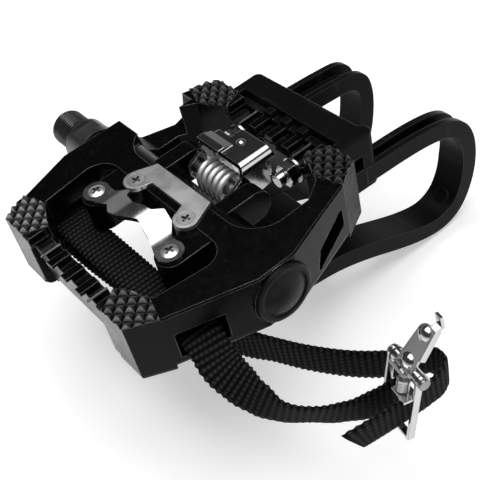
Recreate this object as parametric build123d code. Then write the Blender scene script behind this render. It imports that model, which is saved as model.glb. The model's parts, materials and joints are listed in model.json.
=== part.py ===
from build123d import *
import math
import os

# Toe clip pedal for a left crank, in millimetres.
# While it is modelled, the middle of the cage is at the origin: X runs out along the
# axle, Y points to the toe clip and Z is up. On export it shifts to the crank shoulder.

# Cage
CRANK_TO_CENTRE = 65.0
CAGE_HALF_LENGTH = 48.0
PAD_OUTER_X = 42.3
PAD_WIDTH = 21.3
PAD_LENGTH = 13.7
PAD_CORNER_X = 5.5
PAD_CORNER_Y = 10.5
PAD_INNER_SLANT = 4.0
PAD_INNER_STEP = 8.5
PAD_NOSE = 10.0
PAD_HEIGHT = 1.5
WALL_TOP = 11.5
WALL_DEPTH = 12.5
COLUMN_DEPTH = 14.5
BOTTOM_ROUND = 3.2
TOP_BEVEL = 0.6
BARREL_HALF = 52.8
BARREL_RADIUS = 11.2
BARREL_FACE_HALF = 7.0
DECK_REAR = 6.2
DECK_TOE = 2.4
REAR_WINDOW_HALF = 36.8
TOE_WINDOW_HALF = 38.4
REAR_CORNER_RADIUS = 8.0
TOE_CORNER_RADIUS = 13.0
CROSSBAR = 8.0
CROSSBAR_TOP = 8.4
CROSSBAR_BOTTOM = 9.5
CROSSBAR_SETBACK = 1.8
CROSSBAR_TAPER = 1.0
WINDOW_NECK = 9.0
REAR_NECK_SHIFT = 0.8
TOE_NECK_LOW = 13.0
TOE_NECK_HIGH = 5.0
LOW_WALL_TOP = -1.5
LOW_WALL_START = 1.5
LOW_WALL_END = 0.7
END_BEVEL_X = 3.6
END_BEVEL_Z = 5.8

# Slanted window in the outer wall, in Y and Z
SIDE_WINDOW = [(17.0, -9.0), (20.0, -0.6), (35.0, 4.2), (35.0, -4.2)]
SIDE_WINDOW_CORNER = 1.2

# Ramps at both ends of the crank-side low wall: distance in from the end, height over the wall
LOW_WALL_RAMP = [(2.5, 3.5), (7.5, 0.0)]
LOW_WALL_RISE = [(6.0, 0.0), (2.0, 2.5)]
LOW_WALL_CORNER = 2.0

# Knurl and teeth
KNURL_PITCH = 3.5
KNURL_FLAT = 0.7
TOOTH_PITCH = 9.0
TOOTH_HEIGHT = 2.4
TOOTH_TOP = 3.2
TOOTH_BASE = 5.4
SCALLOP_X = 18.0
SCALLOP_RADIUS = 3.3

# Axle and bearings
THREAD_RADIUS = 7.14
THREAD_LENGTH = 14.0
WRENCH_RADIUS = 9.0
WRENCH_LENGTH = 9.0
WRENCH_FLATS = 15.0
FLAT_EDGE = 1.2
COLLAR_RADIUS = 9.6
COLLAR_GAP = 0.4
JOURNAL_RADIUS = 6.0
SHAFT_RADIUS = 5.0
BEARING_SEAT_RADIUS = 4.0
STUD_RADIUS = 3.4
STUD_LENGTH = 7.5
RUNNING_CLEARANCE = 0.04
BUSH_WALL = 1.5
BUSH_LENGTH = 20.0
SEAL_THICKNESS = 2.0
SEAL_RADIUS = 9.0
BEARING_INSET = 19.8
BEARING_X = BARREL_HALF - BEARING_INSET
BEARING_SHOULDER = 1.2
BEARING_WIDTH = 5.0
BEARING_RADIUS = 8.0
BALL_RADIUS = 1.2
BALL_COUNT = 9
RING_WALL = 1.15
NUT_FLATS = 10.0
NUT_THICKNESS = 4.0
LOCK_WASHER_THICKNESS = 1.0
CAP_BORE_RADIUS = 9.4
CAP_RADIUS = 10.6
CAP_STEM = 4.0
CAP_STEM_WALL = 1.6
CAP_RIM = 1.2
CAP_LIP_HEIGHT = 0.5
CAP_LIP_OUT = 0.6
CAP_LIP_WIDTH = 1.2
CAP_GROOVE = 0.6
CAP_DOME = 2.4

# Cleat plate and front claw
PLATE_THICKNESS = 1.6
PLATE_SCREW_X = 14.6
PLATE_SCREW_Y = -6.4
PLATE_TOE = 3.6
PLATE_EAR_RADIUS = 4.6
PLATE_NOTCH_HALF = 8.6
PLATE_NOTCH_TOP = -3.6
PLATE_NECK = (3.6, 2.8)
PLATE_SHOULDER = (4.4, 1.4)
PLATE_TOE_X = 0.6
SCREW_RADIUS = 2.0
SCREW_HEAD_RADIUS = 3.1
SCREW_LENGTH = 8.0
SCREW_HEAD_RIM = 0.3
CLAW_SCREW_DOME = 0.7
RECESS_RADIUS = 1.7
RECESS_DEPTH = 1.0
RECESS_WIDTH = 0.9
RECESS_TURN = 20.0
CLAW_SCREW_X = 21.9
CLAW_SCREW_Y = -18.7
CLAW_SEAT = 10.8
CLAW_EAR_RADIUS = 4.9
CLAW_SHEET = 1.6
CLAW_RISE = 3.2
CLAW_CREST = 3.0
CLAW_FOOT = 15.6
CLAW_WAVE_RADIUS = 14.0
CLAW_BEND = 0.9

# Plan of the front claw's bridge between its ears, from the screws' line: rear edge, then toe edge
CLAW_BRIDGE = [
    (-CLAW_SCREW_X, -4.6), (-17.0, -3.4), (-12.4, -1.6), (-7.6, -4.2), (-2.2, -3.6), (4.4, 0.4),
    (8.2, -0.6), (12.6, -1.6), (17.0, -3.4), (CLAW_SCREW_X, -4.6),
    (CLAW_SCREW_X, 4.6), (17.0, 4.4), (12.0, 8.4), (6.8, 9.6), (4.2, 6.0), (0.8, 5.6),
    (-3.4, 4.0), (-9.6, 5.2), (-12.0, 8.0), (-17.0, 4.4), (-CLAW_SCREW_X, 4.6),
]

# Arms of the cage under the front claw
SUPPORT_RADIUS = 5.6
SUPPORT_BOTTOM = -1.2

# Rear claw, spring and tension screw
PIVOT_Y = 17.0
PIVOT_Z = 4.0
PIN_RADIUS = 3.0
PIN_CLEARANCE = 0.04
CHEEK_INNER = 14.2
CHEEK_THICKNESS = 6.8
CHEEK_RADIUS = 6.0
REAR_CLAW_HALF = 12.5
REAR_CLAW_TOP = 15.0
REAR_CLAW_BACK = 33.0
REAR_CLAW_FRONT = 20.4
CLAW_FOLD = 3.2
CLAW_NOSE = 4.6
CLAW_NOSE_LOW = 0.5
CLAW_NOSE_HIGH = 3.0
CLAW_HEEL = 2.5
CLAW_HEEL_DROP = 4.4
CLAW_BACK_DROP = 2.0
CLAW_BROW = (1.8, 5.0)
CLAW_CUT_X = -3.4
CLAW_CUT_BACK = 5.2
CLAW_CUT_DROP = 4.4
CLAW_RIVET_X = 1.7
CLAW_RIVET_BACK = 4.8
LIP_RISE = 1.4
LIP_REACH = 1.2
LIP_SHEET = 1.2
LIP_ROOT = 0.8
LIP_SINK = 0.6
LIP_TAIL = 5.2
LIP_TOP = 1.6
LIP_END = 0.6
PIN_COVER = 1.6
PIN_BEVEL = 0.5
SPRING_TURNS = 5
SPRING_PITCH = 2.9
SPRING_WIRE = 1.0
SPRING_RADIUS = 4.9
TENSION_Z = 5.0
TENSION_SCREW_RADIUS = 2.0
TENSION_FLANGE_RADIUS = 4.2
TENSION_FLATS = 6.4
TENSION_FLANGE = 0.9
TENSION_HEAD = 2.6
TENSION_KEY = 3.0
TENSION_KEY_DEPTH = 1.5
TENSION_HOLE_CLEARANCE = 0.3
TENSION_TIP = 0.2
KEY_ROOM = 3.6
KEY_ROOM_CLEARANCE = 0.4
BLOCK_HALF = 8.6
BLOCK_THICKNESS = 4.8
BLOCK_BOTTOM = 0.4
BLOCK_CROWN = 1.0
RIVET_RADIUS = 1.9
RIVET_HEAD = 1.0
RIVET_SHANK = 0.6

# Toe clip
CLIP_HALF = 29.0
CLIP_BLOCK_DEPTH = 13.0
CLIP_TOP = 11.4
CLIP_BOTTOM = -12.0
CLIP_LEDGE = 3.0
CLIP_LEDGE_TOP = 7.6
ARM_INNER = 17.0
RIB_WIDTH = 2.6
RIB_DEPTH = 7.0
WEB_DEPTH = 2.6
ROOF_BRIDGE = 52.0
TONGUE_DEPTH = 30.0
ARM_OVERHANG = 1.0
OUTER_LEAN = 4.4
CRANK_LEAN = 0.5
LEAN_FOOT = -36.0
CLIP_CORNER = 2.6
CLIP_BULGE = 5.6
CLIP_EDGE = 0.8
POCKET_DEPTH = 7.0
POCKET_EDGE = 3.2
POCKET_HALF = 3.0
BOLT_X = 15.0
BOLT_Z = 2.4
BOLT_RADIUS = 2.5
BOLT_FLATS = 8.0
BOLT_HEAD = 3.5
BOLT_CLEARANCE = 0.15
BOLT_TAIL = 3.4
NUT_RELIEF = 0.7
BOLT_SINK = 0.6
SOCKET_SHARE = 0.68
CLIP_NUT_THICKNESS = 4.0
CLIP_WASHER_RADIUS = 5.0
CLIP_WASHER_THICKNESS = 1.0

# Corners of each arm's outer line in Y and Z, from the block round to the tongue
OUTER_ARM = [
    (58.0, -3.2), (89.0, -5.6), (107.0, -11.5), (114.4, -26.0), (112.5, -45.0),
    (102.0, -60.0), (83.0, -59.6), (45.0, -41.0), (23.0, -37.0),
]
CRANK_ARM = [
    (58.0, -3.2), (86.0, -5.2), (102.4, -7.4), (106.8, -20.0), (102.8, -40.0),
    (93.0, -56.0), (77.0, -56.6), (45.0, -41.0), (23.0, -37.0),
]

# Strap and buckle
STRAP_WIDTH = 14.0
STRAP_THICKNESS = 1.7
STRAP_SETBACK = 20.7
STRAP_Y = STRAP_SETBACK - CAGE_HALF_LENGTH
STRAP_Z = -3.0
SLOT_CLEARANCE = 1.0
SLOT_INNER = 14.0
SLOT_TOP = 3.0
SLOT_BOTTOM = -8.0
FRAME_SHEET = 1.0
FRAME_GAP = 12.8
FRAME_DEPTH = 2.4
FRAME_BOTTOM = -12.4
SHELF_HEIGHT = 4.8
SHELF_INNER = 0.0
SHELF_SHEET = 0.9
SHELF_FRONT = 4.4
PIN_HEIGHT = 11.8
PIN_BACK = 1.1
PIN_HEAD = 1.0
PIN_HEAD_RADIUS = 1.9
EYE_WIDTH = 11.8
EYE_LENGTH = 3.2
LEVER_WIDTH = 7.8
LEVER_SHEET = 1.0
LEVER_LENGTH = 15.1
LEVER_LEAN = 29.0
LEVER_RIVETS = [2.3, 12.3]
LEVER_RIVET_RADIUS = 2.6
LEVER_RIVET_HEAD = 1.3
LEVER_TIP_WIDTH = 6.0
APRON_DROP = 1.4
APRON_REACH = 4.4
FLANGE_START = 4.8
FLANGE_DEPTH = 1.6
THUMB_BEND = 1.8
THUMB_LENGTH = 5.4
THUMB_INNER = 0.4
BUCKLE_PIN_RADIUS = 1.2
BUCKLE_SPRING_RADIUS = 1.8
BUCKLE_SPRING_WIRE = 0.35
BUCKLE_SPRING_TURNS = 5
BUCKLE_SPRING_FRONT = 1.9
BUCKLE_SPRING_ACROSS = 2.3
BUCKLE_SPRING_GAP = 0.1
BUCKLE_ORIGIN = (97.0, 32.3, -18.0)
BUCKLE_TURN = -11.5
BUCKLE_LEAN = 12.0

# Route of the strap, with Y counted from the slots: middle of the webbing, direction of its width
STRAP_ROUTE = [
    ((93.2, 34.7, -21.3), (0, 0, 1)),
    ((91.2, 25.7, -21.3), (0, 0, 1)),
    ((87.4, 17.5, -20.5), (0.2, 0, 0.98)),
    ((82.4, 9.7, -18.6), (0.35, 0, 0.94)),
    ((76.2, 3.3, -16.6), (0.45, 0.2, 0.87)),
    ((68.6, 0.3, -13.8), (0.45, 0.5, 0.72)),
    ((60.5, -0.9, -11.4), (0.3, 0.75, 0.55)),
    ((53.0, -1.1, -9.0), (0.1, 0.95, 0.2)),
    ((47.6, -0.4, -5.2), (0, 1, 0)),
    ((43.6, 0.0, STRAP_Z), (0, 1, 0)),
    ((-43.6, 0.0, STRAP_Z), (0, 1, 0)),
    ((-50.0, 0.1, -4.6), (0, 1, 0)),
    ((-55.0, 0.5, -9.0), (0, 1, 0)),
    ((-56.0, 1.1, -15.0), (0, 1, 0)),
    ((-52.6, 1.9, -20.4), (0, 1, 0)),
    ((-45.0, 2.9, -23.4), (0, 1, 0)),
    ((-25.0, 4.7, -25.0), (0, 1, 0.15)),
    ((-5.0, 6.7, -25.0), (0, 0.9, 0.45)),
    ((15.0, 9.1, -24.0), (0, 0.7, 0.7)),
    ((30.0, 11.1, -22.6), (0, 0.4, 0.9)),
    ((42.0, 13.7, -21.2), (0, 0.15, 1)),
    ((53.0, 18.1, -20.2), (0, 0, 1)),
    ((64.0, 23.3, -20.0), (0, 0, 1)),
    ((76.0, 30.9, -20.0), (0, 0, 1)),
    ((85.0, 38.9, -20.0), (0, 0, 1)),
    ((90.4, 45.6, -20.0), (0, 0, 1)),
    ((94.6, 49.5, -20.0), (0, 0, 1)),
    ((98.8, 49.4, -20.0), (0, 0, 1)),
    ((101.2, 45.6, -19.9), (0, 0, 1)),
    ((101.2, 39.8, -20.4), (0.05, -0.05, 1)),
    ((100.0, 32.3, -21.0), (0.06, -0.07, 1)),
    ((98.4, 23.3, -21.4), (0.06, -0.07, 1)),
    ((96.4, 12.5, -21.4), (0.06, -0.05, 1)),
]


def outline(points):
    return make_face(Polyline(*points, close=True))


def prism_x(points, low, high):
    """Solid of a Y-Z outline between two x values."""
    return Pos(low, 0, 0) * extrude(Plane.YZ * outline(points), amount=high - low, dir=(1, 0, 0))


def prism_y(points, low, high):
    """Solid of an X-Z outline between two y values."""
    return Pos(0, low, 0) * extrude(Plane.XZ * outline(points), amount=high - low, dir=(0, 1, 0))


def prism_z(face, low, high):
    """Solid of an X-Y face between two z values."""
    return Pos(0, 0, low) * extrude(face, amount=high - low, dir=(0, 0, 1))


def rod_x(radius, low, high, y=0.0, z=0.0):
    return Pos((low + high) / 2, y, z) * Rot(0, 90, 0) * Cylinder(radius, high - low)


def rod_y(radius, low, high, x=0.0, z=0.0):
    return Pos(x, (low + high) / 2, z) * Rot(90, 0, 0) * Cylinder(radius, high - low)


def rod_z(radius, low, high, x=0.0, y=0.0):
    return Pos(x, y, (low + high) / 2) * Cylinder(radius, high - low)


def block(low, high):
    """Box between two corners."""
    size = [b - a for a, b in zip(low, high)]
    middle = [(a + b) / 2 for a, b in zip(low, high)]
    return Pos(*middle) * Box(*size)


def turned(points):
    """Solid turned about the X axis from (x, radius) points."""
    return revolve(outline(points), axis=Axis.X)


def hexagon(flats):
    return RegularPolygon(flats / math.sqrt(3), 6)


def mirrored(points):
    """Left and right halves of a plan outline, joined along x = 0."""
    return points + [(-x, y) for x, y in reversed(points)]


def domed(radius, height):
    """Cap of a ball that stands on z = 0."""
    ball = (radius ** 2 + height ** 2) / (2 * height)
    cap = Pos(0, 0, height - ball) * Sphere(ball)
    return cap & rod_z(radius, 0, height)


def group(shapes):
    """Separate solids that share one node."""
    return Compound([solid for shape in shapes for solid in shape.solids()])


def both_sides(shape):
    return [shape, mirror(shape, about=Plane.YZ)]


# Cage

def pad_face():
    """Plan of the pad in the +X +Y corner."""
    inner_x = PAD_OUTER_X - PAD_WIDTH
    return outline([
        (inner_x, CAGE_HALF_LENGTH - PAD_INNER_STEP),
        (inner_x + PAD_INNER_SLANT, CAGE_HALF_LENGTH),
        (PAD_OUTER_X - PAD_CORNER_X, CAGE_HALF_LENGTH),
        (PAD_OUTER_X, CAGE_HALF_LENGTH - PAD_CORNER_Y),
        (PAD_OUTER_X - PAD_NOSE, CAGE_HALF_LENGTH - PAD_LENGTH),
    ])


def knurled_pad():
    """Pad cut by two sets of diagonal grooves, which leave small pyramids."""
    pad = prism_z(pad_face(), WALL_TOP, WALL_TOP + PAD_HEIGHT)
    top = WALL_TOP + PAD_HEIGHT
    half = (KNURL_PITCH - KNURL_FLAT) / 2
    reach = PAD_WIDTH + PAD_LENGTH
    groove = prism_y([(-half, top), (0, WALL_TOP + 0.15), (half, top)], -reach, reach)
    middle = Pos(PAD_OUTER_X - PAD_WIDTH / 2, CAGE_HALF_LENGTH - PAD_LENGTH / 2, 0)
    count = math.ceil(reach / 2 / KNURL_PITCH)
    grooves = []
    for step in range(-count, count + 1):
        for turn in (45, -45):
            grooves.append(middle * Rot(0, 0, turn) * Pos((step + 0.5) * KNURL_PITCH, 0, 0) * groove)
    return pad - grooves


def four_corners(shape):
    across = mirror(shape, about=Plane.YZ)
    return [shape, across, mirror(shape, about=Plane.XZ), mirror(across, about=Plane.XZ)]


def cage_outline():
    corner = [
        (PAD_OUTER_X - PAD_CORNER_X, CAGE_HALF_LENGTH),
        (PAD_OUTER_X, CAGE_HALF_LENGTH - PAD_CORNER_Y),
        (BARREL_HALF, BARREL_FACE_HALF),
    ]
    right = [(x, -y) for x, y in corner] + [(x, y) for x, y in reversed(corner)]
    return outline(mirrored(right))


def rear_window():
    near = CAGE_HALF_LENGTH - CROSSBAR
    inner_x = PAD_OUTER_X - PAD_WIDTH
    side = [
        (inner_x, -near),
        (PAD_OUTER_X - WINDOW_NECK, -(CAGE_HALF_LENGTH - PAD_LENGTH) + REAR_NECK_SHIFT),
        (REAR_WINDOW_HALF, -DECK_REAR),
    ]
    face = outline(mirrored(side))
    return fillet(face.vertices().group_by(Axis.Y)[-1], REAR_CORNER_RADIUS)


def toe_window_end():
    return CAGE_HALF_LENGTH - CROSSBAR - CROSSBAR_TAPER


def toe_window():
    far = toe_window_end()
    inner_x = PAD_OUTER_X - PAD_WIDTH
    side = [
        (TOE_WINDOW_HALF, DECK_TOE),
        (TOE_WINDOW_HALF, far - TOE_NECK_LOW),
        (PAD_OUTER_X - WINDOW_NECK, far - TOE_NECK_HIGH),
        (inner_x, far),
    ]
    face = outline(mirrored(side))
    return fillet(face.vertices().group_by(Axis.Y)[0], TOE_CORNER_RADIUS)


def crossbar_teeth(y_low, y_high):
    base = CROSSBAR_TOP - TOOTH_HEIGHT
    teeth = []
    for step in (-1, 0, 1):
        x = step * TOOTH_PITCH
        teeth.append(prism_y([
            (x - TOOTH_BASE / 2, base - 0.5),
            (x + TOOTH_BASE / 2, base - 0.5),
            (x + TOOTH_TOP / 2, CROSSBAR_TOP),
            (x - TOOTH_TOP / 2, CROSSBAR_TOP),
        ], y_low, y_high))
    return teeth


def crossbar_relief(y_low, y_high):
    """Room above and below a crossbar between the pads, with a scallop at each end."""
    half = PAD_OUTER_X - PAD_WIDTH + 0.5
    gap_half = SCALLOP_X - SCALLOP_RADIUS
    top = WALL_TOP + 1
    cuts = [block((-half, y_low, CROSSBAR_TOP), (half, y_high, top))]
    cuts.append(block((-gap_half, y_low, CROSSBAR_TOP - TOOTH_HEIGHT), (gap_half, y_high, top)))
    cuts.append(block((-half, y_low, -WALL_DEPTH - 1), (half, y_high, -CROSSBAR_BOTTOM)))
    for x in (-SCALLOP_X, SCALLOP_X):
        cuts.append(rod_y(SCALLOP_RADIUS, y_low, y_high, x, CROSSBAR_TOP))
    return cuts


def strap_slot():
    half = STRAP_WIDTH / 2 + SLOT_CLEARANCE
    low = (PAD_OUTER_X - SLOT_INNER, STRAP_Y - half, SLOT_BOTTOM)
    return block(low, (BARREL_HALF, STRAP_Y + half, SLOT_TOP))


def side_window():
    """Slanted opening through the outer wall, beside the toe window."""
    face = Plane.YZ * fillet(outline(SIDE_WINDOW).vertices(), SIDE_WINDOW_CORNER)
    return Pos(REAR_WINDOW_HALF, 0, 0) * extrude(face, amount=BARREL_HALF, dir=(1, 0, 0))


def low_wall_cut():
    """The crank-side wall drops to a low bar beside the toe window."""
    start = BARREL_FACE_HALF + LOW_WALL_START
    end = CAGE_HALF_LENGTH - PAD_LENGTH + LOW_WALL_END
    points = [(start, WALL_TOP + 1)]
    points += [(start + inward, LOW_WALL_TOP + height) for inward, height in LOW_WALL_RAMP]
    points += [(end - inward, LOW_WALL_TOP + height) for inward, height in LOW_WALL_RISE]
    points.append((end, WALL_TOP + 1))
    face = Plane.YZ * fillet(outline(points).vertices(), LOW_WALL_CORNER)
    cut = extrude(face, amount=BARREL_HALF + 1 - REAR_WINDOW_HALF, dir=(1, 0, 0))
    return Pos(-BARREL_HALF - 1, 0, 0) * cut


def claw_support():
    """Arm that carries one ear of the front claw."""
    arm = rod_z(SUPPORT_RADIUS, SUPPORT_BOTTOM, CLAW_SEAT, CLAW_SCREW_X, CLAW_SCREW_Y)
    low = (CLAW_SCREW_X - SUPPORT_RADIUS, CLAW_SCREW_Y, SUPPORT_BOTTOM)
    return arm + block(low, (CLAW_SCREW_X + SUPPORT_RADIUS, -DECK_REAR + 2, CLAW_SEAT))


def pivot_cheek():
    """Ear beside the barrel that holds one end of the pivot pin."""
    ear = rod_x(CHEEK_RADIUS, CHEEK_INNER, CHEEK_INNER + CHEEK_THICKNESS, PIVOT_Y, PIVOT_Z)
    low = (CHEEK_INNER, 0, PIVOT_Z - CHEEK_RADIUS)
    return ear + block(low, (CHEEK_INNER + CHEEK_THICKNESS, PIVOT_Y, PIVOT_Z + CHEEK_RADIUS))


def cheek_end():
    return CHEEK_INNER + CHEEK_THICKNESS


def axle_bore():
    """Stepped bore for the seal, the bush, the bearing and the dust cap."""
    bush_radius = JOURNAL_RADIUS + BUSH_WALL
    waist = SHAFT_RADIUS + BEARING_SHOULDER
    start = -BARREL_HALF
    return turned([
        (start - 1, 0), (start - 1, SEAL_RADIUS), (start + SEAL_THICKNESS, SEAL_RADIUS),
        (start + SEAL_THICKNESS, bush_radius), (start + SEAL_THICKNESS + BUSH_LENGTH, bush_radius),
        (start + SEAL_THICKNESS + BUSH_LENGTH, waist), (BEARING_X, waist),
        (BEARING_X, BEARING_RADIUS), (BEARING_X + BEARING_WIDTH, BEARING_RADIUS),
        (BEARING_X + BEARING_WIDTH, CAP_BORE_RADIUS), (BARREL_HALF + 1, CAP_BORE_RADIUS),
        (BARREL_HALF + 1, 0),
    ])


def pedal_body():
    end = CAGE_HALF_LENGTH + 1
    body = prism_z(cage_outline(), -WALL_DEPTH, WALL_TOP)
    body = fillet(body.edges().group_by(Axis.Z)[0], BOTTOM_ROUND)
    body = chamfer(body.edges().group_by(Axis.Z)[-1], TOP_BEVEL)
    body -= prism_z(rear_window(), -WALL_DEPTH - 1, WALL_TOP + 1)
    body -= prism_z(toe_window(), -WALL_DEPTH - 1, WALL_TOP + 1)
    body -= crossbar_relief(-end, -(CAGE_HALF_LENGTH - CROSSBAR - 1))
    body -= crossbar_relief(CAGE_HALF_LENGTH - CROSSBAR - 2, end)
    body += crossbar_teeth(-CAGE_HALF_LENGTH, -(CAGE_HALF_LENGTH - CROSSBAR) - 0.4)
    body += crossbar_teeth(CAGE_HALF_LENGTH - CROSSBAR + 0.4, CAGE_HALF_LENGTH)
    inner_x = PAD_OUTER_X - PAD_WIDTH
    body -= prism_x([
        (-end, CROSSBAR_TOP - 1), (-end, -WALL_DEPTH - 1),
        (-CAGE_HALF_LENGTH + 2 * CROSSBAR_SETBACK, -WALL_DEPTH - 1),
        (-CAGE_HALF_LENGTH + CROSSBAR_SETBACK, CROSSBAR_TOP - 1),
    ], -inner_x - 1.5, inner_x + 1.5)
    body += rod_x(BARREL_RADIUS, -BARREL_HALF, BARREL_HALF)
    body -= low_wall_cut()
    body -= side_window()
    body -= both_sides(strap_slot())
    body += both_sides(claw_support())
    body += both_sides(pivot_cheek())
    body += both_sides(rod_z(PLATE_EAR_RADIUS, 0, WALL_TOP, PLATE_SCREW_X, PLATE_SCREW_Y))
    column = prism_z(pad_face(), -COLUMN_DEPTH, WALL_TOP)
    body += four_corners(fillet(column.edges().group_by(Axis.Z)[0], BOTTOM_ROUND))
    body += four_corners(knurled_pad())
    body -= prism_y([
        (-BARREL_HALF - 1, END_BEVEL_Z), (-BARREL_HALF, END_BEVEL_Z),
        (-BARREL_HALF + END_BEVEL_X, WALL_TOP), (-BARREL_HALF + END_BEVEL_X, WALL_TOP + 1),
        (-BARREL_HALF - 1, WALL_TOP + 1),
    ], -PAD_OUTER_X, PAD_OUTER_X)
    body -= axle_bore()
    body -= rod_x(PIN_RADIUS + PIN_CLEARANCE, -cheek_end() - 1, cheek_end() - PIN_COVER, PIVOT_Y, PIVOT_Z)
    key_room = TENSION_FLANGE_RADIUS + KEY_ROOM_CLEARANCE
    body -= rod_y(key_room, REAR_CLAW_BACK, tension_head_end() + KEY_ROOM, 0, TENSION_Z)
    for x in (-BOLT_X, BOLT_X):
        body -= rod_y(BOLT_RADIUS + BOLT_CLEARANCE, bolt_tail_end(), end, x, BOLT_Z)
    for x in (-PLATE_SCREW_X, PLATE_SCREW_X):
        body -= rod_z(SCREW_RADIUS, WALL_TOP - SCREW_LENGTH, WALL_TOP, x, PLATE_SCREW_Y)
    for x in (-CLAW_SCREW_X, CLAW_SCREW_X):
        body -= rod_z(SCREW_RADIUS, CLAW_SEAT - SCREW_LENGTH, CLAW_SEAT, x, CLAW_SCREW_Y)
    return body


# Axle and bearings

def spindle():
    crank = -CRANK_TO_CENTRE
    wrench = crank + WRENCH_LENGTH
    inner = -BARREL_HALF - COLLAR_GAP
    journal = -BARREL_HALF + SEAL_THICKNESS + BUSH_LENGTH
    seat_end = BEARING_X + BEARING_WIDTH
    blank = turned([
        (crank - THREAD_LENGTH, 0), (crank - THREAD_LENGTH, THREAD_RADIUS - 0.9),
        (crank - THREAD_LENGTH + 0.9, THREAD_RADIUS), (crank, THREAD_RADIUS),
        (crank, WRENCH_RADIUS), (wrench, WRENCH_RADIUS), (wrench, COLLAR_RADIUS),
        (inner, COLLAR_RADIUS), (inner, JOURNAL_RADIUS), (journal, JOURNAL_RADIUS),
        (journal, SHAFT_RADIUS), (BEARING_X, SHAFT_RADIUS), (BEARING_X, BEARING_SEAT_RADIUS),
        (seat_end, BEARING_SEAT_RADIUS), (seat_end, STUD_RADIUS),
        (seat_end + STUD_LENGTH, STUD_RADIUS), (seat_end + STUD_LENGTH, 0),
    ])
    flat = block(
        (crank + FLAT_EDGE, -WRENCH_RADIUS, WRENCH_FLATS / 2),
        (wrench - FLAT_EDGE, WRENCH_RADIUS, WRENCH_RADIUS + 1),
    )
    return blank - [flat, mirror(flat, about=Plane.XY)]


def sleeve(inner, outer, low, high):
    return turned([(low, inner), (low, outer), (high, outer), (high, inner)])


def axle_bush():
    start = -BARREL_HALF + SEAL_THICKNESS
    bore = JOURNAL_RADIUS + RUNNING_CLEARANCE
    return sleeve(bore, JOURNAL_RADIUS + BUSH_WALL, start, start + BUSH_LENGTH)


def axle_seal():
    bore = JOURNAL_RADIUS + RUNNING_CLEARANCE
    return sleeve(bore, SEAL_RADIUS, -BARREL_HALF, -BARREL_HALF + SEAL_THICKNESS)


def ball_circle():
    return (BEARING_SEAT_RADIUS + BEARING_RADIUS) / 2


def ball_groove():
    """Torus that both bearing rings are grooved by."""
    middle = BEARING_X + BEARING_WIDTH / 2
    ring = Pos(middle, 0, 0) * Rot(0, 90, 0) * Torus(ball_circle(), BALL_RADIUS + RUNNING_CLEARANCE)
    return ring


def bearing_outer_ring():
    inner = BEARING_RADIUS - RING_WALL
    return sleeve(inner, BEARING_RADIUS, BEARING_X, BEARING_X + BEARING_WIDTH) - ball_groove()


def bearing_inner_ring():
    outer = BEARING_SEAT_RADIUS + RING_WALL
    return sleeve(BEARING_SEAT_RADIUS, outer, BEARING_X, BEARING_X + BEARING_WIDTH) - ball_groove()


def bearing_balls():
    middle = BEARING_X + BEARING_WIDTH / 2
    balls = []
    for step in range(BALL_COUNT):
        balls.append(Rot(360 * step / BALL_COUNT, 0, 0) * Pos(middle, 0, ball_circle()) * Sphere(BALL_RADIUS))
    return group(balls)


def lock_washer():
    start = BEARING_X + BEARING_WIDTH
    return sleeve(STUD_RADIUS + RUNNING_CLEARANCE, NUT_FLATS / 2, start, start + LOCK_WASHER_THICKNESS)


def lock_nut():
    start = BEARING_X + BEARING_WIDTH + LOCK_WASHER_THICKNESS
    nut = Pos(start, 0, 0) * extrude(Plane.YZ * hexagon(NUT_FLATS), amount=NUT_THICKNESS, dir=(1, 0, 0))
    return nut - rod_x(STUD_RADIUS, start - 1, start + NUT_THICKNESS + 1)


def dust_cap():
    face = BARREL_HALF
    base = face + CAP_RIM
    stem = CAP_BORE_RADIUS
    lip = CAP_RADIUS - CAP_LIP_OUT
    groove = lip - CAP_LIP_WIDTH
    skirt = turned([
        (face - CAP_STEM, stem - CAP_STEM_WALL), (face - CAP_STEM, stem), (face, stem), (face, CAP_RADIUS),
        (base, CAP_RADIUS), (base + CAP_LIP_HEIGHT, lip), (base + CAP_LIP_HEIGHT, groove),
        (base, groove - CAP_GROOVE / 2), (base, 0), (face, 0), (face, stem - CAP_STEM_WALL),
    ])
    dome = domed(groove - CAP_GROOVE, CAP_DOME)
    return skirt + Pos(base, 0, 0) * Rot(0, 90, 0) * dome


# Cleat plate and front claw

def cross_recess(x, y, top):
    """Cross-shaped driver recess in a screw head."""
    half = RECESS_WIDTH / 2
    slot = block((-RECESS_RADIUS, -half, -RECESS_DEPTH), (RECESS_RADIUS, half, 1))
    return Pos(x, y, top) * Rot(0, 0, RECESS_TURN) * (slot + Rot(0, 0, 90) * slot)


def head_cone(top, low):
    """Countersunk shape of a screw, from its top down to its tip."""
    cone = SCREW_HEAD_RADIUS - SCREW_RADIUS
    profile = outline([
        (0, top), (SCREW_HEAD_RADIUS, top), (SCREW_HEAD_RADIUS, -SCREW_HEAD_RIM),
        (SCREW_RADIUS, -SCREW_HEAD_RIM - cone), (SCREW_RADIUS, low), (0, low),
    ])
    return revolve(Plane.XZ * profile, axis=Axis.Z)


def countersunk_screw(x, y, top, dome=0.0):
    """Screw with its head's rim flush with the sheet round it, flat or domed on top."""
    screw = head_cone(0, -SCREW_LENGTH)
    if dome:
        screw += domed(SCREW_HEAD_RADIUS, dome)
    return Pos(x, y, top) * screw - cross_recess(x, y, top + dome)


def screw_hole(x, y, top, sheet):
    return Pos(x, y, top) * head_cone(1, -sheet - 1)


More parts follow.
